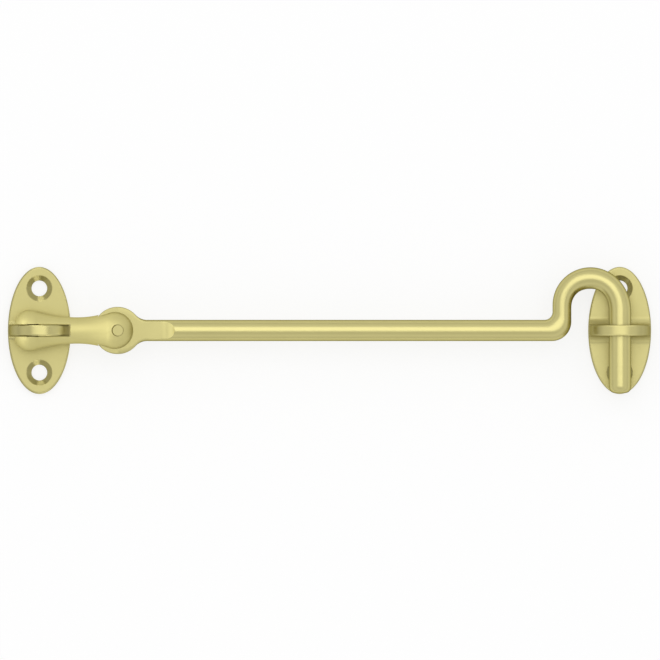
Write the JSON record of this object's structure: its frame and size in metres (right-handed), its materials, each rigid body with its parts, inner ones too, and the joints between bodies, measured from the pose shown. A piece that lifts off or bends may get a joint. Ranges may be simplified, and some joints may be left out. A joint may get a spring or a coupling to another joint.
{
  "type": "hook and eye latch",
  "caption": "Brass cabin hook: an oval anchor plate with a lug, a double-forked knuckle, a gooseneck hook bar and an oval eye plate that takes its tip.",
  "frame": {"origin": "centre of the anchor plate's back face", "axes": "+X along the hook to the eye plate, +Y along the plates' height on the gooseneck's side, +Z out of the mounting face"},
  "size_m": [0.2252, 0.0446, 0.0187],
  "materials": {
    "plate_brass": "satin",
    "knuckle_brass": "satin",
    "hook_brass": "polished",
    "pin_brass": "satin"
  },
  "bodies": {
    "anchor": {"anchor_plate": "plate_brass"},
    "link": {"knuckle": "knuckle_brass", "lug_pin": "pin_brass", "knuckle_rivet": "pin_brass"},
    "bar": {"hook": "hook_brass"},
    "keeper": {"eye_plate": "plate_brass"}
  },
  "joints": [
    {"name": "knuckle_swing", "type": "hinge", "parent": "anchor", "child": "link", "pos_m": [-0.0022, 0, 0.011], "axis": [0, -1, 0], "range_deg": [0, 180]},
    {"name": "hook_turn", "type": "hinge", "parent": "link", "child": "bar", "pos_m": [0.0276, 0, 0.011], "axis": [0, 0, 1], "range_deg": [-105, 105]},
    {"name": "tip_slide", "type": "slide", "parent": "bar", "child": "keeper", "axis": [0, -1, 0], "range_m": [-0.009, 0.05]}
  ]
}
